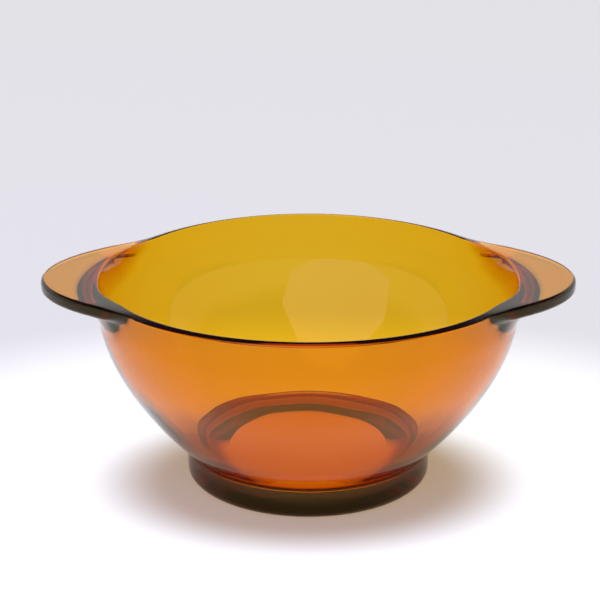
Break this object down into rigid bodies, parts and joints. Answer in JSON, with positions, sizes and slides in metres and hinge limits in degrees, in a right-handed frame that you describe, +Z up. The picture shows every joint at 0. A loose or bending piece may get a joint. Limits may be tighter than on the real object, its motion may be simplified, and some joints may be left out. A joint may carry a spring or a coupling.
{
  "type": "two-handled bowl",
  "caption": "Round pressed amber glass bowl on a foot ring, with a flat tab handle at each side of the rim, used here for mixing hair colour.",
  "frame": {"origin": "centre of the foot ring, on the plane that the bowl stands on", "axes": "+Z up along the bowl's axis, +X towards one tab handle, +Y square to both"},
  "size_m": [0.1722, 0.136, 0.0692],
  "materials": {
    "amber_glass": "clear amber glass, fire-polished",
    "foot_glass": "clear amber glass seen through its full thickness, fire-polished",
    "tab_glass": "clear amber glass, fire-polished"
  },
  "bodies": {
    "root": {"bowl_body": "amber_glass", "foot_ring": "foot_glass", "handle_left": "tab_glass", "handle_right": "tab_glass"}
  },
  "joints": []
}
